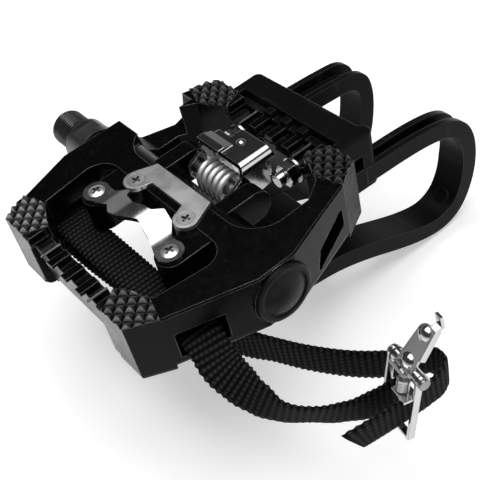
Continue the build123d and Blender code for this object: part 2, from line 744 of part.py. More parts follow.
def cleat_plate():
    side = [
        (PLATE_NOTCH_HALF, PLATE_NOTCH_TOP), (PLATE_SCREW_X - PLATE_NECK[0], PLATE_SCREW_Y - PLATE_NECK[1]),
        (PLATE_SCREW_X + PLATE_SHOULDER[0], PLATE_SCREW_Y + PLATE_SHOULDER[1]),
        (PLATE_SCREW_X + PLATE_TOE_X, PLATE_TOE),
    ]
    plate = prism_z(outline(mirrored(side)), WALL_TOP, WALL_TOP + PLATE_THICKNESS)
    ear = rod_z(PLATE_EAR_RADIUS, WALL_TOP, WALL_TOP + PLATE_THICKNESS, PLATE_SCREW_X, PLATE_SCREW_Y)
    plate += both_sides(ear)
    top = WALL_TOP + PLATE_THICKNESS
    return plate - both_sides(screw_hole(PLATE_SCREW_X, PLATE_SCREW_Y, top, PLATE_THICKNESS))


def cleat_plate_screws():
    top = WALL_TOP + PLATE_THICKNESS
    return group([countersunk_screw(x, PLATE_SCREW_Y, top) for x in (-PLATE_SCREW_X, PLATE_SCREW_X)])


def front_claw():
    """Strip with two ears, bent in a wave that rises over the window."""
    top = CLAW_SEAT + CLAW_SHEET
    upper = top + CLAW_RISE
    plan = outline([(x, CLAW_SCREW_Y + y) for x, y in CLAW_BRIDGE])
    plan = prism_z(fillet(plan.vertices(), CLAW_BEND), CLAW_SEAT, upper)
    plan += both_sides(rod_z(CLAW_EAR_RADIUS, CLAW_SEAT, upper, CLAW_SCREW_X, CLAW_SCREW_Y))
    end = CLAW_SCREW_X + 2 * CLAW_EAR_RADIUS
    wave = outline(mirrored([
        (CLAW_CREST, upper), (CLAW_FOOT, top), (end, top),
        (end, CLAW_SEAT), (CLAW_FOOT, CLAW_SEAT), (CLAW_CREST, upper - CLAW_SHEET),
    ]))
    bends = wave.vertices().filter_by_position(Axis.X, -CLAW_FOOT - 1, CLAW_FOOT + 1)
    wave = Plane.XZ * fillet(bends, CLAW_WAVE_RADIUS)
    claw = plan & extrude(wave, amount=CAGE_HALF_LENGTH, dir=(0, -1, 0))
    return claw - both_sides(screw_hole(CLAW_SCREW_X, CLAW_SCREW_Y, top, CLAW_SHEET))


def front_claw_screws():
    top = CLAW_SEAT + CLAW_SHEET
    spots = (-CLAW_SCREW_X, CLAW_SCREW_X)
    return group([countersunk_screw(x, CLAW_SCREW_Y, top, CLAW_SCREW_DOME) for x in spots])


# Rear claw, spring and tension screw

def rear_claw():
    """Folded sheet: a top plate with a lip, a back wall and two side arms."""
    top = REAR_CLAW_TOP
    back = REAR_CLAW_BACK
    front = REAR_CLAW_FRONT
    half = REAR_CLAW_HALF
    nose = PIVOT_Y - CLAW_NOSE
    heel = PIVOT_Z - CLAW_HEEL_DROP
    low = PIVOT_Z - CLAW_BACK_DROP
    claw = prism_x([
        (nose, PIVOT_Z - CLAW_NOSE_LOW), (PIVOT_Y - CLAW_HEEL, heel), (PIVOT_Y + CLAW_HEEL, heel),
        (back, low), (back, top), (front, top), (front - CLAW_BROW[0], top - CLAW_BROW[1]),
        (nose, PIVOT_Z + CLAW_NOSE_HIGH),
    ], -half, half)
    claw = fillet(claw.edges().filter_by(Axis.Y).group_by(Axis.Z)[-1], CLAW_FOLD)
    inner = half - CLAW_SHEET
    room = block((-inner, 0, -CAGE_HALF_LENGTH), (inner, back - CLAW_SHEET, top - CLAW_SHEET))
    claw -= fillet(room.edges().filter_by(Axis.Y).group_by(Axis.Z)[-1], CLAW_FOLD - CLAW_SHEET)
    claw -= both_sides(nut_relief())
    lip = prism_x([
        (front - LIP_REACH, top + LIP_RISE), (front - LIP_REACH, top + LIP_RISE - LIP_SHEET),
        (front + LIP_ROOT, top - LIP_SINK), (front + LIP_TAIL, top - LIP_SINK), (front + LIP_TAIL, top),
        (front + LIP_TOP, top + LIP_RISE),
    ], -half + CLAW_SHEET / 2, LIP_END)
    claw += lip
    claw -= block((-half - 1, back - CLAW_CUT_BACK, top - CLAW_CUT_DROP), (CLAW_CUT_X, back + 1, top + 1))
    claw -= rod_x(PIN_RADIUS + PIN_CLEARANCE, -half - 1, half + 1, PIVOT_Y, PIVOT_Z)
    claw -= rod_y(TENSION_SCREW_RADIUS + TENSION_HOLE_CLEARANCE, PIVOT_Y, back + 1, 0, TENSION_Z)
    shank = RIVET_RADIUS * RIVET_SHANK
    return claw - rod_z(shank, top - 2 * CLAW_SHEET, top + 1, CLAW_RIVET_X, back - CLAW_RIVET_BACK)


def nut_relief():
    """Room in the claw's back corner for a nut of the toe clip and the end of its bolt."""
    start = BOLT_X - BOLT_FLATS / math.sqrt(3) - NUT_RELIEF
    low = (start, bolt_tail_end() - NUT_RELIEF, PIVOT_Z - CLAW_HEEL_DROP)
    return block(low, (REAR_CLAW_HALF + 1, CAGE_HALF_LENGTH, BOLT_Z + BOLT_FLATS + NUT_RELIEF))


def rivet(x, y, top, sheet, radius, head):
    """Round-head rivet set through a sheet."""
    shank = rod_z(radius * RIVET_SHANK, -sheet, head / 2)
    return Pos(x, y, top) * (domed(radius, head) + shank)


def claw_rivet():
    y = REAR_CLAW_BACK - CLAW_RIVET_BACK
    return rivet(CLAW_RIVET_X, y, REAR_CLAW_TOP, CLAW_SHEET, RIVET_RADIUS, RIVET_HEAD)


def claw_pivot_pin():
    pin = rod_x(PIN_RADIUS, -cheek_end(), cheek_end() - PIN_COVER - PIN_CLEARANCE, PIVOT_Y, PIVOT_Z)
    return chamfer(pin.edges(), PIN_BEVEL)


def coil(radius, wire, pitch, turns, lead, tail):
    """Wire wound about local Z from local X, with a straight leg at each end."""
    wound = Helix(pitch=pitch, height=pitch * turns, radius=radius)
    path = [wound]
    if lead:
        path.insert(0, Line((wound @ 0) - (wound % 0) * lead, wound @ 0))
    if tail:
        path.append(Line(wound @ 1, (wound @ 1) + (wound % 1) * tail))
    path = Wire(path)
    return sweep(Plane(origin=path @ 0, z_dir=path % 0) * Circle(wire), path=path)


def claw_spring():
    """Torsion spring round the pivot pin, one leg on the barrel and one under the block."""
    half = SPRING_TURNS * SPRING_PITCH / 2
    place = Plane(origin=(-half, PIVOT_Y, PIVOT_Z), x_dir=(0, 0, -1), z_dir=(1, 0, 0))
    level = PIVOT_Z - SPRING_RADIUS
    barrel_side = math.sqrt(BARREL_RADIUS ** 2 - level ** 2) + SPRING_WIRE / 4
    legs = PIVOT_Y - barrel_side, block_middle() - PIVOT_Y
    return place.location * coil(SPRING_RADIUS, SPRING_WIRE, SPRING_PITCH, SPRING_TURNS, *legs)


def block_middle():
    coil_back = PIVOT_Y + SPRING_RADIUS + SPRING_WIRE
    return (coil_back + REAR_CLAW_BACK - CLAW_SHEET) / 2


def tension_block():
    middle = block_middle()
    half = BLOCK_THICKNESS / 2
    crown = TENSION_Z + BLOCK_CROWN
    nut = block((-BLOCK_HALF, middle - half, BLOCK_BOTTOM), (BLOCK_HALF, middle + half, crown))
    nut += rod_x(half, -BLOCK_HALF, BLOCK_HALF, middle, crown)
    bore = TENSION_SCREW_RADIUS + PIN_CLEARANCE
    return nut - rod_y(bore, middle - half - 1, middle + half + 1, 0, TENSION_Z)


def tension_head_end():
    return REAR_CLAW_BACK + TENSION_FLANGE + TENSION_HEAD


def tension_screw():
    back = REAR_CLAW_BACK
    flange_end = back + TENSION_FLANGE
    tip = block_middle() - BLOCK_THICKNESS / 2 - TENSION_TIP
    screw = rod_y(TENSION_SCREW_RADIUS, tip, flange_end, 0, TENSION_Z)
    screw += rod_y(TENSION_FLANGE_RADIUS, back, flange_end, 0, TENSION_Z)
    head = extrude(Plane.XZ * hexagon(TENSION_FLATS), amount=TENSION_HEAD, dir=(0, 1, 0))
    screw += Pos(0, flange_end, TENSION_Z) * head
    key = extrude(Plane.XZ * hexagon(TENSION_KEY), amount=TENSION_KEY_DEPTH + 1, dir=(0, 1, 0))
    return screw - Pos(0, tension_head_end() - TENSION_KEY_DEPTH, TENSION_Z) * key


# Toe clip

def parallel(points, depth):
    """Line that runs beside a bent line, at a depth to its right."""
    moved = []
    for index, point in enumerate(points):
        before = points[max(index - 1, 0)]
        after = points[min(index + 1, len(points) - 1)]
        turn_in = math.atan2(point[1] - before[1], point[0] - before[0]) if index else None
        turn_out = math.atan2(after[1] - point[1], after[0] - point[0]) if index < len(points) - 1 else None
        first = turn_out if turn_in is None else turn_in
        last = turn_in if turn_out is None else turn_out
        middle = (first + math.atan2(math.sin(last - first), math.cos(last - first)) / 2)
        reach = depth / math.cos(middle - first)
        moved.append((point[0] + reach * math.sin(middle), point[1] - reach * math.cos(middle)))
    return moved


def soft_line(points):
    """Smooth line that swings round every corner of a bent line."""
    middles = [((a[0] + b[0]) / 2, (a[1] + b[1]) / 2) for a, b in zip(points, points[1:])]
    line = [Line(points[0], middles[0])]
    for first, corner, last in zip(middles, points[1:], middles[1:]):
        line.append(Bezier(first, corner, last))
    return line + [Line(middles[-1], points[-1])]


def arm_band(line, outer_depth, inner_depth, low, high):
    """Curved strip of an arm between two depths under its outer line."""
    outer = soft_line(parallel(line, outer_depth))
    inner = soft_line(parallel(line, inner_depth))
    ends = [Line(outer[0] @ 0, inner[0] @ 0), Line(outer[-1] @ 1, inner[-1] @ 1)]
    face = Plane.YZ * make_face(outer + inner + ends)
    return Pos(low, 0, 0) * extrude(face, amount=high - low, dir=(1, 0, 0))


def leaning(low, high, lean):
    """Upright slab across an arm whose upper part leans outwards."""
    foot = 2 * LEAN_FOOT
    return prism_y([
        (low, foot), (high, foot), (high, LEAN_FOOT), (high + lean, 0), (low + lean, 0), (low, LEAN_FOOT),
    ], 0, 2 * (CAGE_HALF_LENGTH + CLIP_BLOCK_DEPTH))


def clip_arm(line, lean):
    """Arm on the +X side: two ribs and the web between them."""
    outer = CLIP_HALF + ARM_OVERHANG
    arm = arm_band(line, RIB_DEPTH - WEB_DEPTH, RIB_DEPTH, ARM_INNER, outer)
    arm = arm & leaning(ARM_INNER, outer, lean)
    ribs = arm_band(line, 0.0, RIB_DEPTH, ARM_INNER, outer)
    arm += ribs & leaning(ARM_INNER, ARM_INNER + RIB_WIDTH, lean)
    arm += arm_band(line, 0.0, RIB_DEPTH, outer - RIB_WIDTH, outer)
    back = CAGE_HALF_LENGTH + CLIP_BLOCK_DEPTH - RIB_WIDTH
    return arm - block((0, -back, CLIP_BOTTOM), (2 * outer, back, CLIP_TOP))


def toe_clip():
    start = CAGE_HALF_LENGTH
    end = start + CLIP_BLOCK_DEPTH
    plan = outline([
        (-CLIP_HALF, start), (CLIP_HALF, start), (CLIP_HALF + ARM_OVERHANG, end + CLIP_BULGE),
        (CLIP_HALF - CLIP_BULGE, end + ARM_OVERHANG), (-CLIP_HALF, end),
    ])
    plan = fillet(plan.vertices().filter_by_position(Axis.Y, end - 1, end + 2 * CLIP_BULGE), CLIP_CORNER)
    clip = prism_z(plan, CLIP_BOTTOM, CLIP_TOP)
    clip = fillet(clip.edges().group_by(Axis.Z)[-1], CLIP_EDGE)
    half = PAD_OUTER_X - PAD_WIDTH + PAD_INNER_SLANT
    clip -= block((-half, start - 1, CLIP_LEDGE_TOP), (half, start + CLIP_LEDGE, CLIP_TOP + 1))
    raised = Pos(0, 0, CLIP_LEDGE_TOP - CROSSBAR_TOP + TOOTH_HEIGHT)
    clip += [raised * tooth for tooth in crossbar_teeth(start, start + CLIP_LEDGE + CLIP_EDGE)]
    pocket = block(
        (CLIP_HALF - POCKET_DEPTH, start + POCKET_EDGE, -POCKET_HALF),
        (CLIP_HALF + 1, end - POCKET_EDGE, POCKET_HALF),
    )
    clip -= both_sides(pocket)
    clip += clip_arm(OUTER_ARM, OUTER_LEAN)
    clip += mirror(clip_arm(CRANK_ARM, CRANK_LEAN), about=Plane.YZ)
    bridge = arm_band(OUTER_ARM, RIB_DEPTH - WEB_DEPTH, RIB_DEPTH, -ARM_INNER, ARM_INNER)
    clip += bridge & block((-ARM_INNER, 0, -2 * TONGUE_DEPTH), (ARM_INNER, ROOF_BRIDGE, -TONGUE_DEPTH))
    for x in (-BOLT_X, BOLT_X):
        clip -= rod_y(BOLT_RADIUS + BOLT_CLEARANCE, start - 1, end + 1, x, BOLT_Z)
        clip -= rod_y(BOLT_FLATS * SOCKET_SHARE, bolt_seat(), end + 1, x, BOLT_Z)
    return clip


def bolt_seat():
    return CAGE_HALF_LENGTH + CLIP_BLOCK_DEPTH - BOLT_HEAD - BOLT_SINK


def nut_face():
    return toe_window_end() - CLIP_WASHER_THICKNESS


def bolt_tail_end():
    return nut_face() - CLIP_NUT_THICKNESS - BOLT_TAIL


def toe_clip_bolts():
    bolts = []
    for x in (-BOLT_X, BOLT_X):
        shank = rod_y(BOLT_RADIUS, bolt_tail_end(), bolt_seat() + BOLT_HEAD / 2, x, BOLT_Z)
        head = extrude(Plane.XZ * hexagon(BOLT_FLATS), amount=BOLT_HEAD, dir=(0, 1, 0))
        bolts.append(shank + Pos(x, bolt_seat(), BOLT_Z) * head)
    return group(bolts)


def toe_clip_washers():
    washers = []
    for x in (-BOLT_X, BOLT_X):
        low = nut_face()
        disc = rod_y(CLIP_WASHER_RADIUS, low, low + CLIP_WASHER_THICKNESS, x, BOLT_Z)
        hole = rod_y(BOLT_RADIUS + BOLT_CLEARANCE, low - 1, low + CLIP_WASHER_THICKNESS + 1, x, BOLT_Z)
        washers.append(disc - hole)
    return group(washers)


def toe_clip_nuts():
    nuts = []
    for x in (-BOLT_X, BOLT_X):
        low = nut_face() - CLIP_NUT_THICKNESS
        nut = extrude(Plane.XZ * hexagon(BOLT_FLATS), amount=CLIP_NUT_THICKNESS, dir=(0, 1, 0))
        nut = Pos(x, low, BOLT_Z) * nut
        nuts.append(nut - rod_y(BOLT_RADIUS, low - 1, low + CLIP_NUT_THICKNESS + 1, x, BOLT_Z))
    return group(nuts)


# Strap and buckle

def strap_sections():
    faces = []
    places = [Vector(0, STRAP_Y, 0) + Vector(*place) for place, width in STRAP_ROUTE]
    for index, (place, width) in enumerate(STRAP_ROUTE):
        before = places[max(index - 1, 0)]
        after = places[min(index + 1, len(places) - 1)]
        ahead = (places[index] - before).normalized() if index else (after - places[index]).normalized()
        if 0 < index < len(places) - 1:
            ahead = ahead + (after - places[index]).normalized()
        ahead = ahead.normalized()
        across = Vector(*width)
        across = (across - ahead * across.dot(ahead)).normalized()
        section = Plane(origin=places[index], x_dir=across, z_dir=ahead)
        faces.append(section * Rectangle(STRAP_WIDTH, STRAP_THICKNESS))
    return faces


def toe_strap():
    return loft(strap_sections(), ruled=True)


def buckle_place():
    return Pos(0, STRAP_Y, 0) * Pos(*BUCKLE_ORIGIN) * Rot(0, 0, BUCKLE_TURN) * Rot(90 - BUCKLE_LEAN, 0, 0)


def buckle_frame():
    """Sheet ring round the strap, with a shelf for the spring and two ears for the pin."""
    gap = FRAME_GAP / 2
    leg = gap + FRAME_SHEET
    depth = FRAME_DEPTH / 2
    ring = block((-leg, FRAME_BOTTOM, -depth), (leg, PIN_HEIGHT, depth))
    ring -= block((-gap, FRAME_BOTTOM + FRAME_SHEET, -depth - 1), (gap, PIN_HEIGHT + 1, depth + 1))
    side = gap + FRAME_SHEET / 2
    ring += block((SHELF_INNER, SHELF_HEIGHT, -depth), (side, SHELF_HEIGHT + SHELF_SHEET, SHELF_FRONT))
    ear = rod_x(FRAME_DEPTH, -leg, leg, PIN_HEIGHT, -PIN_BACK)
    ring += ear - rod_x(2 * FRAME_DEPTH, -gap, gap, PIN_HEIGHT, -PIN_BACK)
    return buckle_place() * (ring - rod_x(BUCKLE_PIN_RADIUS, -leg - 1, leg + 1, PIN_HEIGHT, -PIN_BACK))


def buckle_pin():
    """Pin with a round head outside each ear."""
    leg = FRAME_GAP / 2 + FRAME_SHEET
    pin = rod_x(BUCKLE_PIN_RADIUS, -leg - PIN_HEAD, leg + PIN_HEAD, PIN_HEIGHT, -PIN_BACK)
    head = rod_x(PIN_HEAD_RADIUS, leg, leg + PIN_HEAD, PIN_HEIGHT, -PIN_BACK)
    return buckle_place() * (pin + both_sides(head))


def lever_place():
    return buckle_place() * Pos(0, PIN_HEIGHT, -PIN_BACK) * Rot(-LEVER_LEAN, 0, 0)


def buckle_lever():
    """Round-ended plate on the pin with two eyes, a thumb tip at one side, a side flange and an apron."""
    half = LEVER_WIDTH / 2
    tip = LEVER_TIP_WIDTH / 2
    eye = BUCKLE_PIN_RADIUS + LEVER_SHEET
    under = BUCKLE_PIN_RADIUS
    end = LEVER_LENGTH
    crown = LEVER_RIVETS[-1]
    plan = outline([(-half, -APRON_DROP), (half, -APRON_DROP), (tip, crown), (-tip, crown)])
    plan += Pos(0, crown) * Circle(tip)
    lever = prism_z(plan, under, eye)
    lever += block((-half, -APRON_DROP, under), (half, LEVER_SHEET - APRON_DROP, APRON_REACH))
    knuckle = rod_x(eye, EYE_WIDTH / 2 - EYE_LENGTH, EYE_WIDTH / 2)
    lever += both_sides(knuckle)
    lever += prism_x([
        (end - LEVER_SHEET, eye), (end - LEVER_SHEET, under), (end + THUMB_BEND, under - THUMB_BEND),
        (end + THUMB_LENGTH, under + THUMB_BEND), (end + THUMB_LENGTH - LEVER_SHEET / 2, eye + THUMB_BEND),
        (end + THUMB_BEND, eye - THUMB_BEND + LEVER_SHEET / 2), (end, eye),
    ], THUMB_INNER, tip)
    flange = prism_z(outline([
        (half - LEVER_SHEET, FLANGE_START), (half, FLANGE_START), (tip, end), (tip - LEVER_SHEET, end),
    ]), under - FLANGE_DEPTH, eye)
    lever += flange
    lever -= rod_x(BUCKLE_PIN_RADIUS + PIN_CLEARANCE, -EYE_WIDTH, EYE_WIDTH)
    for spot in LEVER_RIVETS:
        lever -= rod_z(LEVER_RIVET_RADIUS * RIVET_SHANK, 0, 2 * eye, 0, spot)
    return lever_place() * lever


def buckle_rivets():
    top = BUCKLE_PIN_RADIUS + LEVER_SHEET
    size = LEVER_SHEET, LEVER_RIVET_RADIUS, LEVER_RIVET_HEAD
    return group([lever_place() * rivet(0, spot, top, *size) for spot in LEVER_RIVETS])


def buckle_spring():
    """Compression coil between the shelf of the frame and the lever's apron."""
    lean = math.radians(LEVER_LEAN)
    front = BUCKLE_SPRING_FRONT + PIN_BACK
    apron = PIN_HEIGHT + (front - BUCKLE_SPRING_RADIUS) * math.tan(lean) - APRON_DROP / math.cos(lean)
    low = SHELF_HEIGHT + SHELF_SHEET + BUCKLE_SPRING_WIRE
    high = apron - BUCKLE_SPRING_WIRE / math.cos(lean) - BUCKLE_SPRING_GAP
    pitch = (high - low) / BUCKLE_SPRING_TURNS
    foot = BUCKLE_SPRING_ACROSS, low, BUCKLE_SPRING_FRONT
    place = Plane(origin=foot, x_dir=(1, 0, 0), z_dir=(0, 1, 0))
    wound = coil(BUCKLE_SPRING_RADIUS, BUCKLE_SPRING_WIRE, pitch, BUCKLE_SPRING_TURNS, 0, 0)
    return buckle_place() * place.location * wound


PIECES = [
    pedal_body, spindle, axle_bush, axle_seal, bearing_outer_ring, bearing_inner_ring, bearing_balls,
    lock_washer, lock_nut, dust_cap, cleat_plate, cleat_plate_screws, front_claw, front_claw_screws,
    rear_claw, claw_rivet, claw_pivot_pin, claw_spring, tension_block, tension_screw,
    toe_clip, toe_clip_bolts, toe_clip_washers, toe_clip_nuts,
    toe_strap, buckle_frame, buckle_pin, buckle_lever, buckle_rivets, buckle_spring,
]

os.makedirs("parts", exist_ok=True)
for piece in PIECES:
    export_step(Pos(CRANK_TO_CENTRE, 0, 0) * piece(), f"parts/{piece.__name__}.step")
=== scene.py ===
import json
import math

import bmesh
import bpy
from mathutils import Matrix, Vector


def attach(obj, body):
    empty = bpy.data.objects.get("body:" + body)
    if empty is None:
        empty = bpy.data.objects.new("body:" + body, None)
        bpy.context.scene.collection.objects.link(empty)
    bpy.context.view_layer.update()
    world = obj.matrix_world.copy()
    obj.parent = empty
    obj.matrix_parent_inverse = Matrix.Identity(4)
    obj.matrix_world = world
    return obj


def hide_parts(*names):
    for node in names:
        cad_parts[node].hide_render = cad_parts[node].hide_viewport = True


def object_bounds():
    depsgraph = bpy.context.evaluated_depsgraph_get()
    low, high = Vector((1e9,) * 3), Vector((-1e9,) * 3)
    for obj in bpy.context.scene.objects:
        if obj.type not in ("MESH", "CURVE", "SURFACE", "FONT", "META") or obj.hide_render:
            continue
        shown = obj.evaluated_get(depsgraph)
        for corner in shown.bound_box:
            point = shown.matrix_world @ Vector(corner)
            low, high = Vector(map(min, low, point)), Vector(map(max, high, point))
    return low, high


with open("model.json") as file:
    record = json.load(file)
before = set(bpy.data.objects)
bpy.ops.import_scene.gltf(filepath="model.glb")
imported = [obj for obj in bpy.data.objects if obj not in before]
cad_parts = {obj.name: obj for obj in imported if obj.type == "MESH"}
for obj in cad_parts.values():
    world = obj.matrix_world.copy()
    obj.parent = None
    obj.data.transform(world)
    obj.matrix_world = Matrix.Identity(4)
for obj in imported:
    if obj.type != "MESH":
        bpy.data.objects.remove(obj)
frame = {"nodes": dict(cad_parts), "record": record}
cad_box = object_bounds()
nodes = frame["nodes"]

MM = 0.001
CENTRE_X = 65.0
FULL_TURN = 2 * math.pi

# Spindle in mm, counted along its axis from the crank's shoulder
THREAD_RADIUS = 7.14
THREAD_LENGTH = 14.0
THREAD_PITCH = 1.27
THREAD_DEPTH = 0.72
THREAD_FLANK = 1.4
THREAD_CREST = 0.2
THREAD_CHAMFER = 0.9
THREAD_PLAIN = 0.4
THREAD_RUNOUT = 1.6
THREAD_STEPS = 10
SPINDLE_SIDES = 120
SPINDLE_SHARP = math.radians(40)
WELD_DISTANCE = 1e-6
WRENCH_FLATS = 15.0
FLAT_EDGE = 1.2
SPINDLE_STEPS = [
    (0.0, 9.0), (9.0, 9.6), (11.8, 6.0), (34.2, 5.0), (98.0, 4.0), (103.0, 3.4), (110.5, 0.0),
]

# Strap in mm
STRAP_WIDTH = 14.0
STRAP_THICKNESS = 1.25
STRAP_COLUMNS = 11
SELVEDGE_POWER = 6
SELVEDGE_SHARE = 0.25
RIB_PITCH = 2.1
RIB_HEIGHT = 0.4
RIB_STEPS = 8
EDGE_BUMP = 0.5
FLOATS = 8
TAIL_SKEW = 0.52
TAIL_SKEW_RUN = 14.0
ROUTE_STEPS = 24

# Middle of the webbing and the direction of its width, from the middle of the cage
STRAP_ROUTE = [
    ((93.2, 7.4, -21.3), (0, 0, 1)),
    ((91.2, -1.6, -21.3), (0, 0, 1)),
    ((87.4, -9.8, -20.5), (0.2, 0, 0.98)),
    ((82.4, -17.6, -18.6), (0.35, 0, 0.94)),
    ((76.2, -24.0, -16.6), (0.45, 0.2, 0.87)),
    ((68.6, -27.0, -13.8), (0.45, 0.5, 0.72)),
    ((60.5, -28.2, -11.4), (0.3, 0.75, 0.55)),
    ((53.0, -28.4, -9.0), (0.1, 0.95, 0.2)),
    ((47.6, -27.7, -5.2), (0, 1, 0)),
    ((43.6, -27.3, -3.2), (0, 1, 0)),
    ((37.0, -27.3, -3.0), (0, 1, 0)),
    ((12.0, -27.3, -3.0), (0, 1, 0)),
    ((-12.0, -27.3, -3.0), (0, 1, 0)),
    ((-37.0, -27.3, -3.0), (0, 1, 0)),
    ((-43.6, -27.3, -3.2), (0, 1, 0)),
    ((-50.0, -27.2, -4.6), (0, 1, 0)),
    ((-55.0, -26.8, -9.0), (0, 1, 0)),
    ((-56.0, -26.2, -15.0), (0, 1, 0)),
    ((-52.6, -25.4, -20.4), (0, 1, 0)),
    ((-45.0, -24.4, -23.4), (0, 1, 0)),
    ((-25.0, -22.6, -25.0), (0, 1, 0.15)),
    ((-5.0, -20.6, -25.0), (0, 0.9, 0.45)),
    ((15.0, -18.2, -24.0), (0, 0.7, 0.7)),
    ((30.0, -16.2, -22.6), (0, 0.4, 0.9)),
    ((42.0, -13.6, -21.2), (0, 0.15, 1)),
    ((53.0, -9.2, -20.2), (0, 0, 1)),
    ((64.0, -4.0, -20.0), (0, 0, 1)),
    ((76.0, 3.6, -20.0), (0, 0, 1)),
    ((85.0, 11.6, -20.0), (0, 0, 1)),
    ((90.4, 18.3, -20.0), (0, 0, 1)),
    ((94.6, 22.2, -20.0), (0, 0, 1)),
    ((98.8, 22.1, -20.0), (0, 0, 1)),
    ((101.2, 18.3, -19.9), (0, 0, 1)),
    ((101.2, 12.5, -20.4), (0.05, -0.05, 1)),
    ((100.0, 5.0, -21.0), (0.06, -0.07, 1)),
    ((98.4, -4.0, -21.4), (0.06, -0.07, 1)),
    ((96.4, -14.8, -21.4), (0.06, -0.05, 1)),
]

# Moulding mark on the outer arm: place, slope of the web in Y and Z, its bend, and (radius, height) steps
MARK_PLACE = (23.8, 99.74, -50.22)
MARK_SLOPE = math.radians(-140.5)
MARK_BEND = 11.0
MARK_STEPS = [(3.2, -0.3), (3.1, 0.25), (2.7, 0.4), (1.2, 0.4)]
MARK_SIDES = 40

# Linear greys of the materials: darkest and lightest of a surface, or one shade of a trace on it
COAT = (0.001, 0.0022)
COAT_SPECKS = 0.03
COAT_EDGE_WEAR_AND_HIGHLIGHT = 0.2
KNURL_WEAR_AND_HIGHLIGHT = 0.45
REAR_SHEEN_AND_SCRAPE = 0.3
NYLON = (0.004, 0.007)
NYLON_SCUFFS = 0.03
NYLON_EDGE_WEAR_AND_HIGHLIGHT = 0.04
CAP = (0.006, 0.012)
CHROME = (0.48, 0.7)
BINDING = (0.3, 0.46)
SCREW = (0.6, 0.8)
SPRING = (0.86, 0.97)
FRONT_CLAW = (0.42, 0.6)
BRUSHED = (0.62, 0.85)
TURNED = (0.2, 0.36)
BLACKENED = (0.11, 0.2)
BLACKENED_EDGE_WEAR_AND_HIGHLIGHT = 0.35
THREAD_ROOT_SHADE = 0.03
RUBBER = (0.008, 0.022)
CLOTH = (0.0005, 0.038)
# Plate rims: a dark one is painted shade, a bright one a painted highlight
PAINTED_DARK_RIM = 0.1
PAINTED_BRIGHT_RIM = 0.95

# Painted shade on the satin plate's rims and in its recesses, as shares of its darkest grey
RIM_SHADE_DARKENING = 0.15
RECESS_SHADE_DARKENING = 0.1

# Colours of the bronze, and the coolness of every grey
BRONZE_DARK = (0.3, 0.18, 0.07, 1)
BRONZE_LIGHT = (0.5, 0.33, 0.15, 1)
GREY_BLUE = 1.01

# Where the coat is paled by wear and by painted highlight and reflection, and where the thread's roots carry
# painted shade, in mm
KNURL_Z = (11.7, 12.6)
KNURL_FADE_Y = (-20.0, 20.0)
KNURL_FADE_X = (30.0, 90.0)
REAR_FACE_Y = (-44.0, -46.0)
REAR_FACE_Z = (-16.0, 4.0)
THREAD_SHADE_RADII = (6.6, 7.12)

# Reach of corners, width of the pale edges (wear and painted highlight) and depth of grain, in mm
COAT_CORNERS = 1.2
PLATE_CORNERS = 1.1
COAT_WEAR_AND_HIGHLIGHT_WIDTH = 0.6
NYLON_WEAR_AND_HIGHLIGHT_WIDTH = 0.7
RIM_WIDTH = 0.4
THREAD_WEAR_AND_HIGHLIGHT_WIDTH = 0.3
GRAIN_DEPTH = 0.1
YARN_DEPTH = 0.25

# Usual span and roughness of the noise, how far a rim turns from flat, and samples at edges and corners
NOISE_SPAN = (0.3, 0.7)
NOISE_ROUGHNESS = 0.55
RIM_SPAN = (0.97, 0.85)
EDGE_SAMPLES = 4
CORNER_SAMPLES = 6

# Camera fitted to the photograph: place in mm from the middle of the cage, axes of its picture and lens
CAMERA_PLACE = (230.64, -105.449, 228.131)
CAMERA_RIGHT = (0.62081, 0.76024, -0.1914)
CAMERA_DOWN = (0.4659, -0.55413, -0.68984)
CAMERA_SENSOR = 36.0
CAMERA_LENS = 73.735
CAMERA_NEAR = 0.01

# Floor and light, in metres and watts
FLOOR_DROP = 0.002
FLOOR_HALF = 8.0
FLOOR_COLOUR = (0.84, 0.84, 0.84, 1)
FLOOR_ROUGHNESS = 0.9
GLOW_REACH = (0.35, 1.6)
GLOW_LEVELS = (0.45, 0.95)
HORIZON_LEVEL = 0.6
ZENITH_LEVEL = 0.05
HORIZON_HEIGHT = 0.4
WHITE = (1, 1, 1, 1)

# What the lamps face, in mm from the middle of the cage, and each lamp's name, offset, size and power
LIGHT_TARGET = (10, 10, 0)
LAMPS = [
    ("key", (0.0, 0.05, 1.1), (1.2, 1.0), 13),
    ("side", (0.95, 0.35, 0.35), (0.5, 0.6), 1.6),
]


# Small tools

def clamp(value):
    return min(max(value, 0.0), 1.0)


def in_metres(lengths):
    return tuple(length * MM for length in lengths)


def in_frame(x, y, z):
    """Place in the frame, in metres, from mm counted from the middle of the cage."""
    return Vector(((x + CENTRE_X) * MM, y * MM, z * MM))


def grey(value):
    return (value, value, value * GREY_BLUE, 1.0)


def place_in_scene(name, data):
    obj = bpy.data.objects.new(name, data)
    bpy.context.scene.collection.objects.link(obj)
    return obj


def dress(obj, material):
    obj.data.materials.clear()
    obj.data.materials.append(material)


# Material tools

